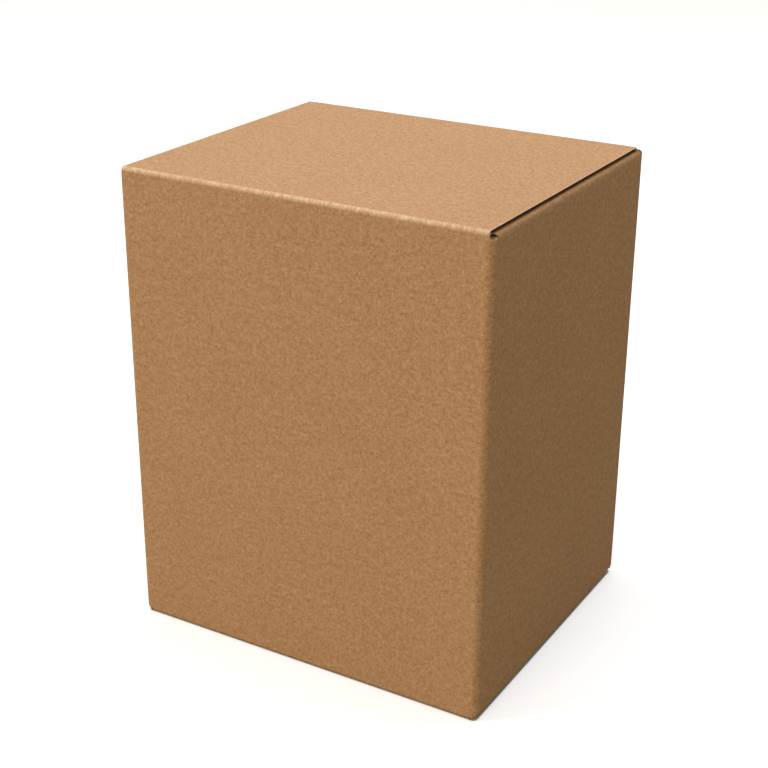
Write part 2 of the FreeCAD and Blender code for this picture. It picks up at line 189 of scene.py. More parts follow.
# Pulp mottle: each layer's noise, as scale, detail, roughness and stretch, then the range
# of noise that counts and the shades that it becomes. The last layer is dark flecks.
EVEN = (1, 1, 1)
PULP_LAYERS = [
    ((1500, 3, 0.6, EVEN), (0.3, 0.7), (0.83, 1.17)),
    ((650, 2, 0.5, EVEN), (0.3, 0.7), (0.88, 1.12)),
    ((280, 1, 0.5, EVEN), (0.3, 0.7), (0.95, 1.05)),
    ((1800, 2, 0.5, (1, 0.3, 1)), (0.3, 0.7), (0.92, 1.08)),
    ((30, 3, 0.5, EVEN), (0.3, 0.7), (0.98, 1.02)),
    ((1000, 2, 0.5, EVEN), (0.60, 0.68), (1.0, 0.75)),
]

# Strength of the mottle in red, green and blue, so that it looks the same in all three
MOTTLE_POWERS = (0.80, 1.28, 1.90)

# Fine unevenness of the liner, with its noise as in the layers above
BUMP_NOISE = (1400, 4, 0.65, (1, 0.6, 1))
BUMP_STRENGTH = 0.25
BUMP_DISTANCE = 0.1 * MM

# Floor: its tone as the camera sees it and as it lights the carton, and a glow that only
# the camera sees. The glow ends just under the carton's walls.
FLOOR_HALF = 6.0
FLOOR_SEEN = (0.96, 0.96, 0.96)
FLOOR_BOUNCE = (0.26, 0.26, 0.26)
FLOOR_ROUGHNESS = 0.9
FLOOR_GLOW = 0.5
GLOW_COLOUR = (0.85, 0.9, 1.0)
GLOW_EDGE = -0.8 * MM

# World fill, and the lamps as name, place, size, power and colour
FILL_COLOUR = (1.0, 0.86, 0.545)
FILL_STRENGTH = 0.352
LAMPS = [
    ("key", (-1.55, -1.2, 1.6), 0.9, 15.1, (1.0, 0.98, 0.92)),
    ("overhead", (0.1, 0.3, 2.4), 1.6, 25.2, (0.84, 0.89, 1.0)),
    ("front_fill", (-0.2, -2.4, 0.9), 1.4, 15.2, (1.0, 0.81, 0.575)),
]

# Camera, fitted to the photo's edges
AZIMUTH = math.radians(30.25)
ELEVATION = math.radians(23.25)
ROLL = math.radians(0.40)
DISTANCE = 3.205 * TOP
CAMERA_LEFT = 0.0060 * TOP
CAMERA_UP = 0.0035 * TOP
SENSOR_WIDTH = 36
IMAGE_WIDTH = 768
FOCAL_PIXELS = 1507


class Fold:
    """A line of board that bends now and then, always towards its inner side.

    start is a point of the outer liner and heading the way it runs at first; inward
    points through the board. A bend is (distance along, outer radius, angle).
    """

    def __init__(self, start, heading, inward, bends):
        self.start = Vector(start)
        self.heading = Vector(heading)
        self.inward = Vector(inward)
        self.bends = bends

    def place(self, distance):
        """Point on the outer liner, and the inward direction there."""
        point = self.start.copy()
        heading = self.heading.copy()
        inward = self.inward.copy()
        along = 0.0
        for begin, radius, angle in self.bends:
            if distance <= begin:
                break
            point += heading * (begin - along)
            length = bend_length(radius, angle)
            turn = min((distance - begin) / length, 1.0) * angle
            centre = point + inward * radius
            heading, inward = (
                heading * math.cos(turn) + inward * math.sin(turn),
                inward * math.cos(turn) - heading * math.sin(turn),
            )
            point = centre - inward * radius
            along = begin + length
            if distance < along:
                return point, inward
        return point + heading * (distance - along), inward

    def crush(self, distance):
        """Share of its thickness that the board keeps, less in a tight fold."""
        kept = 1.0
        for begin, radius, angle in self.bends:
            if radius > BOARD + CRUSHED_CORE:
                continue
            end = begin + bend_length(radius, angle)
            away = max(begin - distance, distance - end, 0.0) / CRUSH_SPREAD
            ease = smooth(min(away, 1.0))
            kept = min(kept, ease + (1 - ease) * (radius - CRUSHED_CORE) / BOARD)
        return kept

    def at(self, distance, depth):
        point, inward = self.place(distance)
        return point + inward * depth * self.crush(distance)


def smooth(share):
    return share * share * (3 - 2 * share)


def bend_length(radius, angle=QUARTER):
    """Length of a bend along the middle of the board."""
    return angle * (radius - BOARD / 2)


# Where each panel and upright fold starts, measured round the blank
FOLD_END = REAR - WALL_RADIUS - RELIEF
FOLD_SIDE = RIGHT - WALL_RADIUS - RELIEF
CORNER = bend_length(WALL_RADIUS)
U_FRONT_LEFT = FOLD_END + REAR - WALL_RADIUS
U_FRONT = U_FRONT_LEFT + CORNER
U_FRONT_RIGHT = U_FRONT + 2 * (RIGHT - WALL_RADIUS)
U_RIGHT = U_FRONT_RIGHT + CORNER
U_REAR_RIGHT = U_RIGHT + 2 * (REAR - WALL_RADIUS)
U_REAR = U_REAR_RIGHT + CORNER
U_REAR_LEFT = U_REAR + 2 * (RIGHT - WALL_RADIUS) - BOARD
U_GLUE = U_REAR_LEFT + CORNER
U_END = U_GLUE + GLUE_WIDTH - WALL_RADIUS
WALL_BENDS = [U_FRONT_LEFT, U_FRONT_RIGHT, U_REAR_RIGHT, U_REAR_LEFT]

WRAP = Fold((LEFT, FOLD_END), (0, -1), (1, 0), [(u, WALL_RADIUS, QUARTER) for u in WALL_BENDS])


class Panel:
    """One wall: its strip of the blank, and how the flaps at its two ends fold.

    An offset is the plan coordinate along the wall. A reach is a distance in from the
    wall's outer face.
    """

    def __init__(self, centre, direction, low, high, floor_height):
        self.centre = centre
        self.direction = direction
        self.low = low
        self.high = high
        self.floor_tangent = floor_height + FLOOR_RADIUS
        self.column_low = floor_height + COLUMN_LIFT
        self.floor_fold = Fold((0, self.floor_tangent), (0, -1), (1, 0), [(0, FLOOR_RADIUS, QUARTER)])
        self.dust_fold = Fold((0, DUST_TANGENT), (0, 1), (1, 0), [(0, DUST_RADIUS, QUARTER)])

    def u(self, offset):
        return self.centre + self.direction * offset

    def floor_v(self, reach):
        return self.floor_tangent - bend_length(FLOOR_RADIUS) - (reach - FLOOR_RADIUS)

    def dust_v(self, reach):
        return DUST_TANGENT + bend_length(DUST_RADIUS) + (reach - DUST_RADIUS)

    def floor_points(self, places):
        return [(self.u(offset), self.floor_v(reach), radius) for offset, reach, radius in places]

    def dust_points(self, places):
        return [(self.u(offset), self.dust_v(reach), radius) for offset, reach, radius in places]


LEFT_PANEL = Panel(FOLD_END, -1, 0, U_FRONT_LEFT - RELIEF, LAYER)
FRONT_PANEL = Panel((U_FRONT + U_FRONT_RIGHT) / 2, 1, U_FRONT + RELIEF, U_FRONT_RIGHT - RELIEF, 0)
RIGHT_PANEL = Panel((U_RIGHT + U_REAR_RIGHT) / 2, 1, U_RIGHT + RELIEF, U_REAR_RIGHT - RELIEF, LAYER)
REAR_PANEL = Panel(U_REAR + RIGHT - WALL_RADIUS, -1, U_REAR + RELIEF, U_REAR_LEFT - RELIEF, 2 * LAYER)
SIDE_PANELS = [LEFT_PANEL, RIGHT_PANEL]
END_PANELS = [FRONT_PANEL, REAR_PANEL]

# Upright folds between their slits: where each starts and ends, its raw lower end at both
# places, and its top
UPRIGHT_FOLDS = [
    (before.high + SLIT, after.low - SLIT, before.column_low, after.column_low, top)
    for before, after, top in (
        (LEFT_PANEL, FRONT_PANEL, COLUMN_TOP),
        (FRONT_PANEL, RIGHT_PANEL, COLUMN_TOP),
        (RIGHT_PANEL, REAR_PANEL, REAR_TOP),
    )
]
UPRIGHT_FOLDS.append(
    (REAR_PANEL.high + SLIT, U_GLUE, REAR_PANEL.column_low, LEFT_PANEL.column_low, REAR_TOP)
)

# The front panel runs up to the mitre in the middle of the lid's fold
LID_TANGENT = TOP - LID_RADIUS
MITRE = LID_TANGENT + bend_length(LID_RADIUS) / 2
LID_BEND_END = LID_TANGENT + bend_length(LID_RADIUS)
TUCK_BEND = LID_BEND_END + (LID_REAR - TUCK_RADIUS) - (FRONT + LID_RADIUS)
TUCK_TURN = QUARTER + TUCK_LEAN
TUCK_START = TUCK_BEND + bend_length(TUCK_RADIUS, TUCK_TURN)
TUCK_END = TUCK_START + TUCK_REACH
OVER_FOLD = Fold(
    (FRONT, LID_TANGENT),
    (0, 1),
    (1, 0),
    [(0, LID_RADIUS, QUARTER), (TUCK_BEND - LID_TANGENT, TUCK_RADIUS, TUCK_TURN)],
)


def climb(reach):
    """Height that the front flap's tongue gains at a distance in from the front."""
    share = (reach - FRONT_REACH) / TONGUE_RUN
    return 3 * LAYER * min(max(share, 0.0), 1.0)


def lean(u, v):
    """How far an upright fold leans in near its raw ends."""
    for start, end, low_start, low_end, high in UPRIGHT_FOLDS:
        if start <= u <= end:
            low = low_start + (low_end - low_start) * (u - start) / (end - start)
            near_low = max(1 - (v - low) / LOW_LEAN_RUN, 0.0)
            near_high = max(1 - (high - v) / HIGH_LEAN_RUN, 0.0)
            if high == COLUMN_TOP:
                past_lid = (abs(u - FRONT_PANEL.centre) - LID_SIDE) / HIGH_LEAN_RUN
                near_high *= smooth(min(max(past_lid, 0.0), 1.0))
            return LOW_LEAN * near_low ** 2 + HIGH_LEAN * near_high ** 2
    return 0.0


def in_strip(panel, u):
    return panel.low - SLIT / 2 <= u <= panel.high + SLIT / 2


def fold_carton(u, v, depth):
    """Place of a point of the carton's blank."""
    if v > COLUMN_TOP and abs(u - FRONT_PANEL.centre) < RIGHT:
        return fold_front_top(u, v, depth)
    reach, height = depth + lean(u, v), v
    for panel in SIDE_PANELS + END_PANELS:
        if not in_strip(panel, u):
            continue
        if v < panel.floor_tangent:
            reach, height = panel.floor_fold.at(panel.floor_tangent - v, depth)
            if panel is FRONT_PANEL:
                height += climb(reach)
        elif panel in SIDE_PANELS and v > DUST_TANGENT:
            reach, height = panel.dust_fold.at(v - DUST_TANGENT, depth)
    outer, inward = WRAP.place(u)
    plan = outer + inward * reach
    return Vector((plan.x, plan.y, height))


def fold_front_top(u, v, depth):
    """Place of a point between the upright folds' tops and the lid's fold.

    The last of the round of the upright folds flattens out there.
    """
    outer, inward = WRAP.place(u)
    plan = outer + inward * depth
    bent = Vector((plan.x, plan.y, v))
    share = min((v - COLUMN_TOP) / (LID_TANGENT - COLUMN_TOP), 1.0)
    return bent.lerp(fold_lid(u, v, depth), smooth(share))


def fold_lid(u, v, depth):
    """Place of a point of the front panel's top or of the lid."""
    y, z = OVER_FOLD.at(v - LID_TANGENT, depth)
    return Vector((u - FRONT_PANEL.centre, y, z))


def rounded(corners):
    """Outline with its corners rounded, as a list of (point, channel).

    A corner is (u, v), (u, v, radius) or (u, v, radius, channel). The channel is the depth
    of the channel along the edge that leaves the point. Where two points in a row are the
    same, the second stays.
    """
    outline = []
    count = len(corners)
    for index, corner in enumerate(corners):
        here = Vector(corner[:2])
        radius = corner[2] if len(corner) > 2 else 0
        channel = corner[3] if len(corner) > 3 else CHANNEL
        if not radius:
            outline.append((here, channel))
            continue
        before = (Vector(corners[index - 1][:2]) - here).normalized()
        after = (Vector(corners[(index + 1) % count][:2]) - here).normalized()
        half = before.angle(after) / 2
        run = radius / math.tan(half)
        centre = here + (before + after).normalized() * (radius / math.sin(half))
        start = here + before * run - centre
        end = here + after * run - centre
        turn = start.angle_signed(end)
        for step in range(ARC_STEPS + 1):
            angle = -turn * step / ARC_STEPS
            spot = centre + Matrix.Rotation(angle, 2) @ start
            outline.append((spot, channel))
    following = outline[1:] + outline[:1]
    pairs = zip(outline, following)
    return [here for here, there in pairs if (here[0] - there[0]).length > SAME_POINT]


def side_floor_places():
    """A side floor flap, as offset, reach and radius, from its rear end to its front end."""
    front = FRONT + SIDE_FRONT
    return [
        (FOLD_END, FLOOR_RADIUS, 0),
        (FOLD_END - SIDE_CORNER, FLOOR_RADIUS + SIDE_CORNER, 0),
        (front + SIDE_TIP, SIDE_REACH, 0),
        (front, SIDE_REACH, SIDE_CORNER),
        (front, SIDE_REACH - SIDE_CORNER, 0),
        (-FOLD_END, FLOOR_RADIUS, 0),
    ]


def front_floor_places():
    """The front floor flap with its tongue."""
    side = FOLD_SIDE - FLOOR_STEP
    tip = FRONT_REACH + TONGUE_RUN + TONGUE_TIP
    return [
        (-FOLD_SIDE, FLOOR_RADIUS, 0),
        (-side, FLOOR_RADIUS + FLOOR_STEP, 0),
        (-side, FRONT_REACH, TONGUE_CORNER),
        (-TONGUE_SIDE, FRONT_REACH, 0),
        (-TONGUE_SIDE, tip, TONGUE_CORNER),
        (TONGUE_SIDE, tip, TONGUE_CORNER),
        (TONGUE_SIDE, FRONT_REACH, 0),
        (side, FRONT_REACH, TONGUE_CORNER),
        (side, FLOOR_RADIUS + FLOOR_STEP, 0),
        (FOLD_SIDE, FLOOR_RADIUS, 0),
    ]


def rear_floor_places():
    """The rear floor flap with its notch. It stops a board shorter at the glue flap's end."""
    right = FOLD_SIDE - FLOOR_STEP
    left = BOARD - right
    return [
        (FOLD_SIDE, FLOOR_RADIUS, 0),
        (right, FLOOR_RADIUS + FLOOR_STEP, 0),
        (right, REAR_REACH, REAR_CORNER),
        (NOTCH_SIDE, REAR_REACH, 0),
        (NOTCH_SIDE, NOTCH_REACH, 0),
        (-NOTCH_SIDE, NOTCH_REACH, 0),
        (-NOTCH_SIDE, REAR_REACH, 0),
        (left, REAR_REACH, REAR_CORNER),
        (left, FLOOR_RADIUS + FLOOR_STEP, 0),
        (BOARD - FOLD_SIDE, FLOOR_RADIUS, 0),
    ]


def dust_places():
    """A dust flap, from its rear end to its front end."""
    front = FRONT + DUST_FRONT
    rear = REAR - DUST_REAR
    return [
        (FOLD_END, DUST_RADIUS, 0),
        (rear, DUST_RADIUS + DUST_SHOULDER, 0),
        (rear, DUST_REACH, DUST_CORNER),
        (front, DUST_REACH, DUST_CORNER),
        (front, DUST_REACH - DUST_CORNER, 0),
        (-FOLD_END, DUST_RADIUS, 0),
    ]


def narrow(points):
    """Corners of narrow cuts, where the channel is shallow."""
    return [(u, v, 0, NARROW_CHANNEL) for u, v in points]


def column_bottom(before, after):
    """The lower end of an upright fold, with the slits to both sides of it."""
    return narrow(
        [
            (before.high, before.floor_tangent),
            (before.high + SLIT, before.floor_tangent),
            (before.high + SLIT, before.column_low),
            (after.low - SLIT, after.column_low),
            (after.low - SLIT, after.floor_tangent),
            (after.low, after.floor_tangent),
        ]
    )


def bottom_corners():
    """Lower side of the carton's blank, from the left panel to the glue flap."""
    side = side_floor_places()
    corners = LEFT_PANEL.floor_points(side)
    corners += column_bottom(LEFT_PANEL, FRONT_PANEL)
    corners += FRONT_PANEL.floor_points(front_floor_places())
    corners += column_bottom(FRONT_PANEL, RIGHT_PANEL)
    corners += RIGHT_PANEL.floor_points(side[::-1])
    corners += column_bottom(RIGHT_PANEL, REAR_PANEL)
    corners += REAR_PANEL.floor_points(rear_floor_places())
    corners += narrow(
        [
            (REAR_PANEL.high, REAR_PANEL.floor_tangent),
            (REAR_PANEL.high + SLIT, REAR_PANEL.floor_tangent),
            (REAR_PANEL.high + SLIT, REAR_PANEL.column_low),
            (U_GLUE, LEFT_PANEL.column_low),
        ]
    )
    return corners + [(U_GLUE, GLUE_INSET), (U_END, GLUE_INSET + GLUE_SLOPE)]


def top_corners():
    """Upper side of the carton's blank, from the glue flap back to the left panel."""
    front_right = FRONT_PANEL.u(LID_SIDE)
    front_left = FRONT_PANEL.u(-LID_SIDE)
    dust = dust_places()
    corners = [
        (U_END, TOP - GLUE_INSET - GLUE_SLOPE),
        (U_GLUE, TOP - GLUE_INSET, 0, NARROW_CHANNEL),
        (U_GLUE, REAR_TOP, 0, REAR_CHANNEL),
        (RIGHT_PANEL.high + SLIT, REAR_TOP, 0, NARROW_CHANNEL),
        (RIGHT_PANEL.high + SLIT, DUST_TANGENT, 0, NARROW_CHANNEL),
        (RIGHT_PANEL.high, DUST_TANGENT),
    ]
    corners += RIGHT_PANEL.dust_points(dust)
    corners += [
        (RIGHT_PANEL.low, DUST_TANGENT, 0, NARROW_CHANNEL),
        (RIGHT_PANEL.low - SLIT, DUST_TANGENT, 0, NARROW_CHANNEL),
        (RIGHT_PANEL.low - SLIT, COLUMN_TOP, 0, NARROW_CHANNEL),
        (front_right, COLUMN_TOP, 0, SOLID),
        (front_right, MITRE, 0, SOLID),
        (front_left, MITRE, 0, SOLID),
        (front_left, COLUMN_TOP, 0, NARROW_CHANNEL),
        (LEFT_PANEL.high + SLIT, COLUMN_TOP, 0, NARROW_CHANNEL),
        (LEFT_PANEL.high + SLIT, DUST_TANGENT, 0, NARROW_CHANNEL),
        (LEFT_PANEL.high, DUST_TANGENT),
    ]
    return corners + LEFT_PANEL.dust_points(dust[::-1])


def carton_outline():
    """The carton's blank, up to the mitre of the lid's fold."""
    return rounded(bottom_corners() + top_corners())


def lid_outline():
    """The lid's blank, from the mitre to the end of the tuck flap."""
    left = FRONT_PANEL.u(-LID_SIDE)
    right = FRONT_PANEL.u(LID_SIDE)
    tuck_left = FRONT_PANEL.u(-TUCK_SIDE)
    tuck_right = FRONT_PANEL.u(TUCK_SIDE)
    return rounded(
        [
            (left, MITRE, 0, SOLID),
            (right, MITRE),
            (right, TUCK_BEND),
            (tuck_right, TUCK_BEND),
            (tuck_right, TUCK_END, TUCK_CORNER),
            (tuck_left, TUCK_END, TUCK_CORNER),
            (tuck_left, TUCK_BEND),
            (left, TUCK_BEND),
        ]
    )


def bend_lines(begin, length):
    """Places to cut the blank at, so that a bend comes out round and the rest flat."""
    inside = [begin + length * step / BEND_STEPS for step in range(BEND_STEPS + 1)]
    margins = [BEND_MARGIN * step for step in range(1, MARGIN_STEPS + 1)]
    before = [begin - margin for margin in margins]
    return before + inside + [begin + length + margin for margin in margins]


def carton_lines():
    """Lines to cut the carton's blank at, across u and up v."""
    across = []
    for u in WALL_BENDS:
        across += bend_lines(u, CORNER)
    up = bend_lines(DUST_TANGENT, bend_length(DUST_RADIUS))
    up += bend_lines(LID_TANGENT, bend_length(LID_RADIUS))
    up += [FRONT_PANEL.floor_v(FRONT_REACH), FRONT_PANEL.floor_v(FRONT_REACH + TONGUE_RUN)]
    for panel in (FRONT_PANEL, RIGHT_PANEL, REAR_PANEL):
        length = bend_length(FLOOR_RADIUS)
        up += bend_lines(panel.floor_tangent - length, length)
    return across, up


def lid_lines():
    """Lines to cut the lid's blank at. None is needed across u."""
    up = bend_lines(LID_TANGENT, bend_length(LID_RADIUS))
    up += bend_lines(TUCK_BEND, bend_length(TUCK_RADIUS, TUCK_TURN))
    return [], up


def split_outline(outline, across, up):
    """Triangles of the outline cut along the lines, as points and index triples."""
    scale = 1 / MM
    points = [spot * scale for spot, channel in outline]
    left = min(point.x for point in points) - 1
    right = max(point.x for point in points) + 1
    low = min(point.y for point in points) - 1
    high = max(point.y for point in points) + 1
    count = len(points)
    edges = []
    for u in across:
        edges.append((len(points), len(points) + 1))
        points += [Vector((u * scale, low)), Vector((u * scale, high))]
    for v in up:
        edges.append((len(points), len(points) + 1))
        points += [Vector((left, v * scale)), Vector((right, v * scale))]
    result = delaunay_2d_cdt(points, edges, [list(range(count))], 0, CUT_TOLERANCE)
    spots, faces, sources = result[0], result[2], result[5]
    inside = [face for face, source in zip(faces, sources) if source]
    return [spot / scale for spot in spots], inside


def boundary_edges(faces):
    """Edges with one triangle, each directed with the sheet on its left."""
    directed = set()
    for face in faces:
        for index in range(3):
            directed.add((face[index - 1], face[index]))
    return [(a, b) for a, b in directed if (b, a) not in directed]


def edge_channel(outline, start, end):
    """Depth of the channel at the boundary edge between two points."""
    middle = (start + end) / 2
    nearest = None
    for index, (spot, channel) in enumerate(outline):
        following = outline[(index + 1) % len(outline)][0]
        along = following - spot
        share = min(max((middle - spot).dot(along) / along.length_squared, 0.0), 1.0)
        away = (spot + along * share - middle).length
        if nearest is None or away < nearest[0]:
            nearest = away, channel
    return nearest[1]


def inset(spot, before, after, depth_before, depth_after):
    """The point moved in from the edges before and after it by their channel depths."""
    one = Vector((-before.y, before.x)).normalized()
    two = Vector((-after.y, after.x)).normalized()
    cross = one.x * two.y - one.y * two.x
    if abs(cross) < NEARLY_STRAIGHT:
        return spot + (one + two).normalized() * max(depth_before, depth_after)
    x = (depth_before * two.y - depth_after * one.y) / cross
    y = (depth_after * one.x - depth_before * two.x) / cross
    return spot + Vector((x, y))


class Board:
    """A mesh of board in the making. Each corner keeps its place on the flat blank."""

    def __init__(self, fold):
        self.mesh = bmesh.new()
        self.flat = self.mesh.verts.layers.float_vector.new("flat")
        self.fold = fold

    def corner(self, u, v, depth):
        made = self.mesh.verts.new(self.fold(u, v, depth))
        made[self.flat] = (u, v, depth)
        return made

    def face(self, corners):
        self.mesh.faces.new(corners)

    def tube(self, rings):
        """A tube through rings of four corners, closed at both ends."""
        for one, two in zip(rings, rings[1:]):
            for index in range(4):
                self.face((one[index - 1], one[index], two[index], two[index - 1]))
        self.face(rings[0])
        self.face(rings[-1][::-1])

    def finish(self, name):
        """The mesh as an object, smooth but for its sharp edges."""
        bmesh.ops.recalc_face_normals(self.mesh, faces=self.mesh.faces)
        self.mesh.normal_update()
        for face in self.mesh.faces:
            face.smooth = True
        for edge in self.mesh.edges:
            edge.smooth = edge.calc_face_angle(math.pi) < SHARP
        data = bpy.data.meshes.new(name)
        self.mesh.to_mesh(data)
        self.mesh.free()
        piece = bpy.data.objects.new(name, data)
        bpy.context.collection.objects.link(piece)
        return piece


def edge_rows(board, outline, spots, edges, outer, inner):
    """Corners through the board at each boundary point, in and out of the channel."""
    after = {a: b for a, b in edges}
    before = {b: a for a, b in edges}
    channels = {a: edge_channel(outline, spots[a], spots[b]) for a, b in edges}
    rows = {}
    for here in after:
        spot = spots[here]
        way_in = spot - spots[before[here]]
        way_out = spots[after[here]] - spot
        deep = inset(spot, way_in, way_out, channels[before[here]], channels[here])
        front = board.corner(*spot, LINER)
        back = board.corner(*spot, BOARD - LINER)
        deep_front, deep_back = front, back
        if (deep - spot).length > SAME_POINT:
            deep_front = board.corner(*deep, LINER)
            deep_back = board.corner(*deep, BOARD - LINER)
        rows[here] = [outer[here], front, deep_front, deep_back, back, inner[here]]
    return rows


def build_sheet(name, outline, lines, fold):
    """A closed sheet of board, folded, with a channel between its liners at cut edges."""
    spots, faces = split_outline(outline, *lines)
    board = Board(fold)
    used = sorted({index for face in faces for index in face})
    outer = {index: board.corner(*spots[index], 0) for index in used}
    inner = {index: board.corner(*spots[index], BOARD) for index in used}
    for a, b, c in faces:
        board.face((outer[a], outer[b], outer[c]))
        board.face((inner[c], inner[b], inner[a]))

    edges = boundary_edges(faces)
    rows = edge_rows(board, outline, spots, edges, outer, inner)
    for a, b in edges:
        steps = zip(rows[b], rows[a], rows[a][1:], rows[b][1:])
        for step in steps:
            corners = [corner for index, corner in enumerate(step) if corner not in step[:index]]
            if len(corners) > 2:
                board.face(corners)
    return board.finish(name)


def flute_runs(outline):
    """Cut edges that run across the flutes: start, end and depth of the channel."""
    runs = []
    count = len(outline)
    for index, (spot, channel) in enumerate(outline):
        following = outline[(index + 1) % count][0]
        along = following - spot
        if channel and abs(along.x) > SHORTEST_RUN and abs(along.y) < abs(along.x) * STEEPEST_RUN:
            runs.append((spot, following, channel))
    return runs


def flute_ring(board, spot, into, channel):
    """Corners round the medium, from near its cut edge to the channel's end."""
    middle = BOARD / 2 + WAVE * math.cos(2 * math.pi * spot.x / FLUTE_PITCH)
    low = middle - MEDIUM / 2
    high = middle + MEDIUM / 2
    near = spot.y + into * MEDIUM_SET_BACK
    far = spot.y + into * channel
    return [
        board.corner(spot.x, near, low),
        board.corner(spot.x, near, high),
        board.corner(spot.x, far, high),
        board.corner(spot.x, far, low),
    ]


def build_flutes(name, outline, fold):
    """The fluted medium where it shows in the channels across the flutes."""
    board = Board(fold)
    for start, end, channel in flute_runs(outline):
        along = end - start
        into = 1 if along.x > 0 else -1
        count = max(int(abs(along.x) / FLUTE_STEP), 2)
        spots = [start + along * (index / count) for index in range(count + 1)]
        board.tube([flute_ring(board, spot, into, channel) for spot in spots])
    return board.finish(name)


def build_crease(name):
    """The middle of the lid's fold, across the mitre between the two boards."""
    board = Board(fold_lid)
    left = FRONT_PANEL.u(CREASE_INSET - LID_SIDE)
    right = FRONT_PANEL.u(LID_SIDE - CREASE_INSET)
    outer = CREASE_DEPTH
    inner = BOARD - CREASE_DEPTH
    corners = [(left, outer), (right, outer), (right, inner), (left, inner)]
    rings = []
    for away in CREASE_STEPS:
        rings.append([board.corner(u, MITRE + away, depth) for u, depth in corners])
    board.tube(rings)
    return board.finish(name)


class Nodes:
    """The shader nodes of a material or world, with short ways to add some."""

    def __init__(self, owner):
        owner.use_nodes = True
        self.tree = owner.node_tree

    def add(self, kind):
        return self.tree.nodes.new("ShaderNode" + kind)

    def link(self, output, socket):
        self.tree.links.new(output, socket)

    def fill(self, socket, value):
        """Set a socket to a number or tuple, or link another node's output to it."""
        if isinstance(value, (int, float, tuple)):
            socket.default_value = value
        else:
            self.link(value, socket)

    def math(self, operation, *values):
        node = self.add("Math")
        node.operation = operation
        for socket, value in zip(node.inputs, values):
            self.fill(socket, value)
        return node.outputs["Value"]

    def vector_math(self, operation, *values):
        node = self.add("VectorMath")
        node.operation = operation
        for socket, value in zip(node.inputs, values):
            self.fill(socket, value)
        return node.outputs["Value" if operation == "LENGTH" else "Vector"]

    def split(self, vector):
        node = self.add("SeparateXYZ")
        self.link(vector, node.inputs["Vector"])
        return node.outputs["X"], node.outputs["Y"], node.outputs["Z"]

    def mix(self, factor, first, second):
        """Colour from the first to the second as the factor goes from 0 to 1."""
        node = self.add("Mix")
        node.data_type = "RGBA"
        self.link(factor, node.inputs["Factor"])
        self.fill(node.inputs["A"], first)
        self.fill(node.inputs["B"], second)
        return node.outputs["Result"]

    def noise(self, vector, scale, detail, roughness, stretch):
        mapping = self.add("Mapping")
        mapping.inputs["Scale"].default_value = stretch
        self.link(vector, mapping.inputs["Vector"])
        node = self.add("TexNoise")
        node.inputs["Scale"].default_value = scale
        node.inputs["Detail"].default_value = detail
        node.inputs["Roughness"].default_value = roughness
        self.link(mapping.outputs["Vector"], node.inputs["Vector"])
        return node.outputs["Fac"]

    def remap(self, value, found, wanted):
        """The value moved from one range to another, and held at its ends."""
        node = self.add("MapRange")
        node.inputs["From Min"].default_value = found[0]
        node.inputs["From Max"].default_value = found[1]
        node.inputs["To Min"].default_value = wanted[0]
        node.inputs["To Max"].default_value = wanted[1]
        self.link(value, node.inputs["Value"])
        return node.outputs["Result"]

    def away(self, coordinate, middle):
        return self.math("ABSOLUTE", self.math("SUBTRACT", coordinate, middle))

    def band(self, coordinate, middle, half_width):
        """1 about the middle, easing to 0 at the half width."""
        return self.remap(self.away(coordinate, middle), (half_width * BAND_CORE, half_width), (1, 0))


def opaque(colour):
    return (*colour, 1)


def kraft_tone(nodes, flat):
    """Liner colour, with a painted highlight at the lid's fold, rims and upright folds' tops and
    painted shade at the dust flaps' folds.
    """
    u, v = nodes.split(flat)[:2]
    from_lid_middle = nodes.away(u, FRONT_PANEL.centre)
    # Painted highlight: the liner is drawn paler along the lid's fold, its cut side rims and the raw
    # tops of the upright folds past the lid
    on_lid = nodes.remap(v, (MITRE, MITRE + RIM_EASE), (0, RIM_HIGHLIGHT_STRENGTH))
    rim = nodes.math("MULTIPLY", nodes.band(from_lid_middle, LID_SIDE, RIM_BAND), on_lid)
    past_lid = nodes.remap(from_lid_middle, (LID_SIDE, LID_SIDE + COLUMN_EASE), (0, 1))
    column = nodes.math("MULTIPLY", nodes.band(v, COLUMN_TOP, COLUMN_BAND), past_lid)
    painted_highlight = nodes.math("MAXIMUM", nodes.band(v, MITRE, FOLD_BAND), rim)
    painted_highlight = nodes.math("MAXIMUM", painted_highlight, column)

    # Painted shade: the liner is drawn browner on the dust flaps' folds, where they turn away from
    # the light
    from_side_middle = nodes.away(from_lid_middle, RIGHT_PANEL.centre - FRONT_PANEL.centre)
    on_side = nodes.remap(from_side_middle, (FOLD_END, FOLD_END + RELIEF), (1, 0))
    dust_bend = DUST_TANGENT + bend_length(DUST_RADIUS) * DUST_SHADE_SHARE
    dust_fold_shade = nodes.math("MULTIPLY", nodes.band(v, dust_bend, DUST_SHADE_BAND), on_side)

    tone = nodes.mix(painted_highlight, opaque(KRAFT), opaque(HIGHLIGHT_KRAFT))
    return nodes.mix(dust_fold_shade, tone, opaque(DUST_FOLD_SHADE_KRAFT))


def kraft_core(nodes, flat):
    """Darkening of the cut core between the liners: partly the medium's darker brown and partly
    painted shade in the open flutes. The crushed fold of the lid has none.
    """
    v, depth = nodes.split(flat)[1:]
    from_middle = nodes.away(depth, BOARD / 2)
    edges = [BOARD / 2 - LINER * share for share in CORE_EASE]
    # Painted shade in the channel between the liners, with the medium's darker brown
    core = nodes.remap(from_middle, edges, (1, CORE_PAINTED_SHADE))
    return nodes.math("MAXIMUM", core, nodes.band(v, MITRE, CRUSHED_BAND))


def kraft_mottle(nodes, flat):
    """Shade of the pulp in red, green and blue."""
    shade = 1.0
    for noise, found, shades in PULP_LAYERS:
        layer = nodes.remap(nodes.noise(flat, *noise), found, shades)
        shade = nodes.math("MULTIPLY", shade, layer)
    mottle = nodes.add("CombineXYZ")
    for socket, power in zip(mottle.inputs, MOTTLE_POWERS):
        nodes.link(nodes.math("POWER", shade, power), socket)
    return mottle.outputs["Vector"]


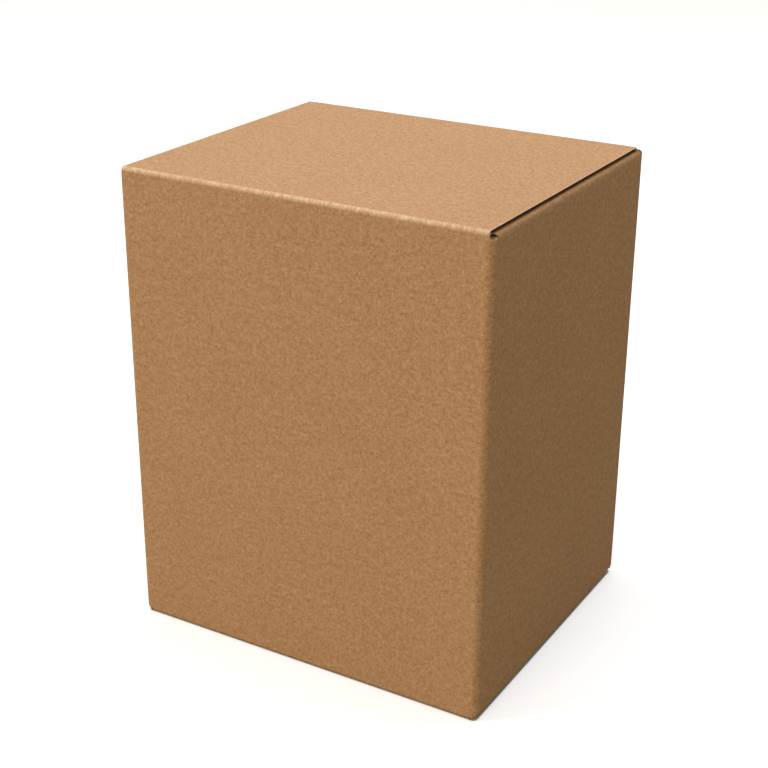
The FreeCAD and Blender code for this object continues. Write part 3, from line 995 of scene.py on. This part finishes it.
def kraft(name):
    """Brown kraft board, from its place on the flat blank."""
    material = bpy.data.materials.new(name)
    nodes = Nodes(material)
    place = nodes.add("Attribute")
    place.attribute_name = "flat"
    flat = place.outputs["Vector"]
    colour = nodes.vector_math("MULTIPLY", kraft_tone(nodes, flat), kraft_mottle(nodes, flat))
    colour = nodes.vector_math("MULTIPLY", colour, kraft_core(nodes, flat))
    bump = nodes.add("Bump")
    bump.inputs["Strength"].default_value = BUMP_STRENGTH
    bump.inputs["Distance"].default_value = BUMP_DISTANCE
    nodes.link(nodes.noise(flat, *BUMP_NOISE), bump.inputs["Height"])

    shader = nodes.tree.nodes["Principled BSDF"]
    shader.inputs["Roughness"].default_value = BOARD_ROUGHNESS
    shader.inputs["Specular IOR Level"].default_value = BOARD_SPECULAR
    nodes.link(colour, shader.inputs["Base Color"])
    nodes.link(bump.outputs["Normal"], shader.inputs["Normal"])
    return material


def pale_floor():
    """Floor that the camera sees whiter than the lamps make it, but not under the carton."""
    material = bpy.data.materials.new("pale_floor")
    nodes = Nodes(material)
    seen = nodes.add("LightPath").outputs["Is Camera Ray"]
    spot = nodes.add("NewGeometry").outputs["Position"]
    spot = nodes.vector_math("ABSOLUTE", spot)
    spot = nodes.vector_math("SUBTRACT", spot, (RIGHT - WALL_RADIUS, REAR - WALL_RADIUS, 0))
    spot = nodes.vector_math("MAXIMUM", spot, (0, 0, 0))
    away = nodes.vector_math("LENGTH", spot)
    outside = nodes.math("GREATER_THAN", away, WALL_RADIUS + GLOW_EDGE)
    glow = nodes.math("MULTIPLY", seen, outside)
    glow = nodes.math("MULTIPLY", glow, FLOOR_GLOW)

    shader = nodes.tree.nodes["Principled BSDF"]
    shader.inputs["Roughness"].default_value = FLOOR_ROUGHNESS
    shader.inputs["Specular IOR Level"].default_value = 0
    shader.inputs["Emission Color"].default_value = opaque(GLOW_COLOUR)
    nodes.link(glow, shader.inputs["Emission Strength"])
    tone = nodes.mix(seen, opaque(FLOOR_BOUNCE), opaque(FLOOR_SEEN))
    nodes.link(tone, shader.inputs["Base Color"])
    return material


def build_floor():
    half = FLOOR_HALF
    data = bpy.data.meshes.new("floor")
    corners = [(-half, -half, 0), (half, -half, 0), (half, half, 0), (-half, half, 0)]
    data.from_pydata(corners, [], [(0, 1, 2, 3)])
    data.materials.append(pale_floor())
    floor = bpy.data.objects.new("floor", data)
    bpy.context.collection.objects.link(floor)


def light_world():
    """Warm fill light. The camera, mirrors and glass see white."""
    world = bpy.data.worlds.new("studio")
    bpy.context.scene.world = world
    nodes = Nodes(world)
    nodes.tree.nodes.clear()
    fill = nodes.add("Background")
    fill.inputs["Color"].default_value = opaque(FILL_COLOUR)
    fill.inputs["Strength"].default_value = FILL_STRENGTH
    white = nodes.add("Background")
    white.inputs["Color"].default_value = (1, 1, 1, 1)
    path = nodes.add("LightPath")
    seen = nodes.math("MAXIMUM", path.outputs["Is Camera Ray"], path.outputs["Is Glossy Ray"])
    seen = nodes.math("MAXIMUM", seen, path.outputs["Is Transmission Ray"])
    mix = nodes.add("MixShader")
    nodes.link(seen, mix.inputs["Fac"])
    nodes.link(fill.outputs["Background"], mix.inputs[1])
    nodes.link(white.outputs["Background"], mix.inputs[2])
    output = nodes.add("OutputWorld")
    nodes.link(mix.outputs["Shader"], output.inputs["Surface"])


def add_lamp(name, place, size, power, colour):
    """Round soft lamp that points at the middle of the carton."""
    data = bpy.data.lights.new(name, "AREA")
    data.shape = "DISK"
    data.size = size
    data.energy = power
    data.color = colour
    lamp = bpy.data.objects.new(name, data)
    bpy.context.collection.objects.link(lamp)
    lamp.location = place
    way = Vector((0, 0, TOP / 2)) - Vector(place)
    lamp.rotation_euler = way.to_track_quat("-Z", "Y").to_euler()


def add_camera():
    back = Vector(
        (
            math.sin(AZIMUTH) * math.cos(ELEVATION),
            -math.cos(AZIMUTH) * math.cos(ELEVATION),
            math.sin(ELEVATION),
        )
    )
    right = Vector((0, 0, 1)).cross(back).normalized()
    up = back.cross(right)
    right, up = (
        right * math.cos(ROLL) + up * math.sin(ROLL),
        up * math.cos(ROLL) - right * math.sin(ROLL),
    )
    place = Vector((0, 0, TOP / 2)) + back * DISTANCE - right * CAMERA_LEFT + up * CAMERA_UP
    data = bpy.data.cameras.new("camera")
    data.sensor_width = SENSOR_WIDTH
    data.lens = FOCAL_PIXELS / IMAGE_WIDTH * SENSOR_WIDTH
    camera = bpy.data.objects.new("camera", data)
    bpy.context.collection.objects.link(camera)
    turn = Matrix((right, up, back)).transposed().to_4x4()
    camera.matrix_world = Matrix.Translation(place) @ turn
    bpy.context.scene.camera = camera


carton_blank = carton_outline()
lid_blank = lid_outline()

carton_sheet = build_sheet("carton_sheet", carton_blank, carton_lines(), fold_carton)
carton_sheet.data.materials.append(kraft("carton_kraft"))
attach(carton_sheet, "carton")
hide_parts("carton_body")

carton_flutes = build_flutes("carton_flutes", carton_blank, fold_carton)
carton_flutes.data.materials.append(carton_sheet.data.materials[0])
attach(carton_flutes, "carton")

lid_sheet = build_sheet("lid_sheet", lid_blank, lid_lines(), fold_lid)
lid_sheet.data.materials.append(kraft("lid_kraft"))
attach(lid_sheet, "lid")
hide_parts("lid")

lid_flutes = build_flutes("lid_flutes", lid_blank, fold_lid)
lid_flutes.data.materials.append(lid_sheet.data.materials[0])
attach(lid_flutes, "lid")

lid_crease = build_crease("lid_crease")
lid_crease.data.materials.append(lid_sheet.data.materials[0])
fold_middle = Vector((0, *OVER_FOLD.place(MITRE - LID_TANGENT)[0]))
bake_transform(lid_crease)

build_floor()
light_world()
for lamp in LAMPS:
    add_lamp(*lamp)
add_camera()
bpy.context.scene.view_settings.view_transform = "Standard"
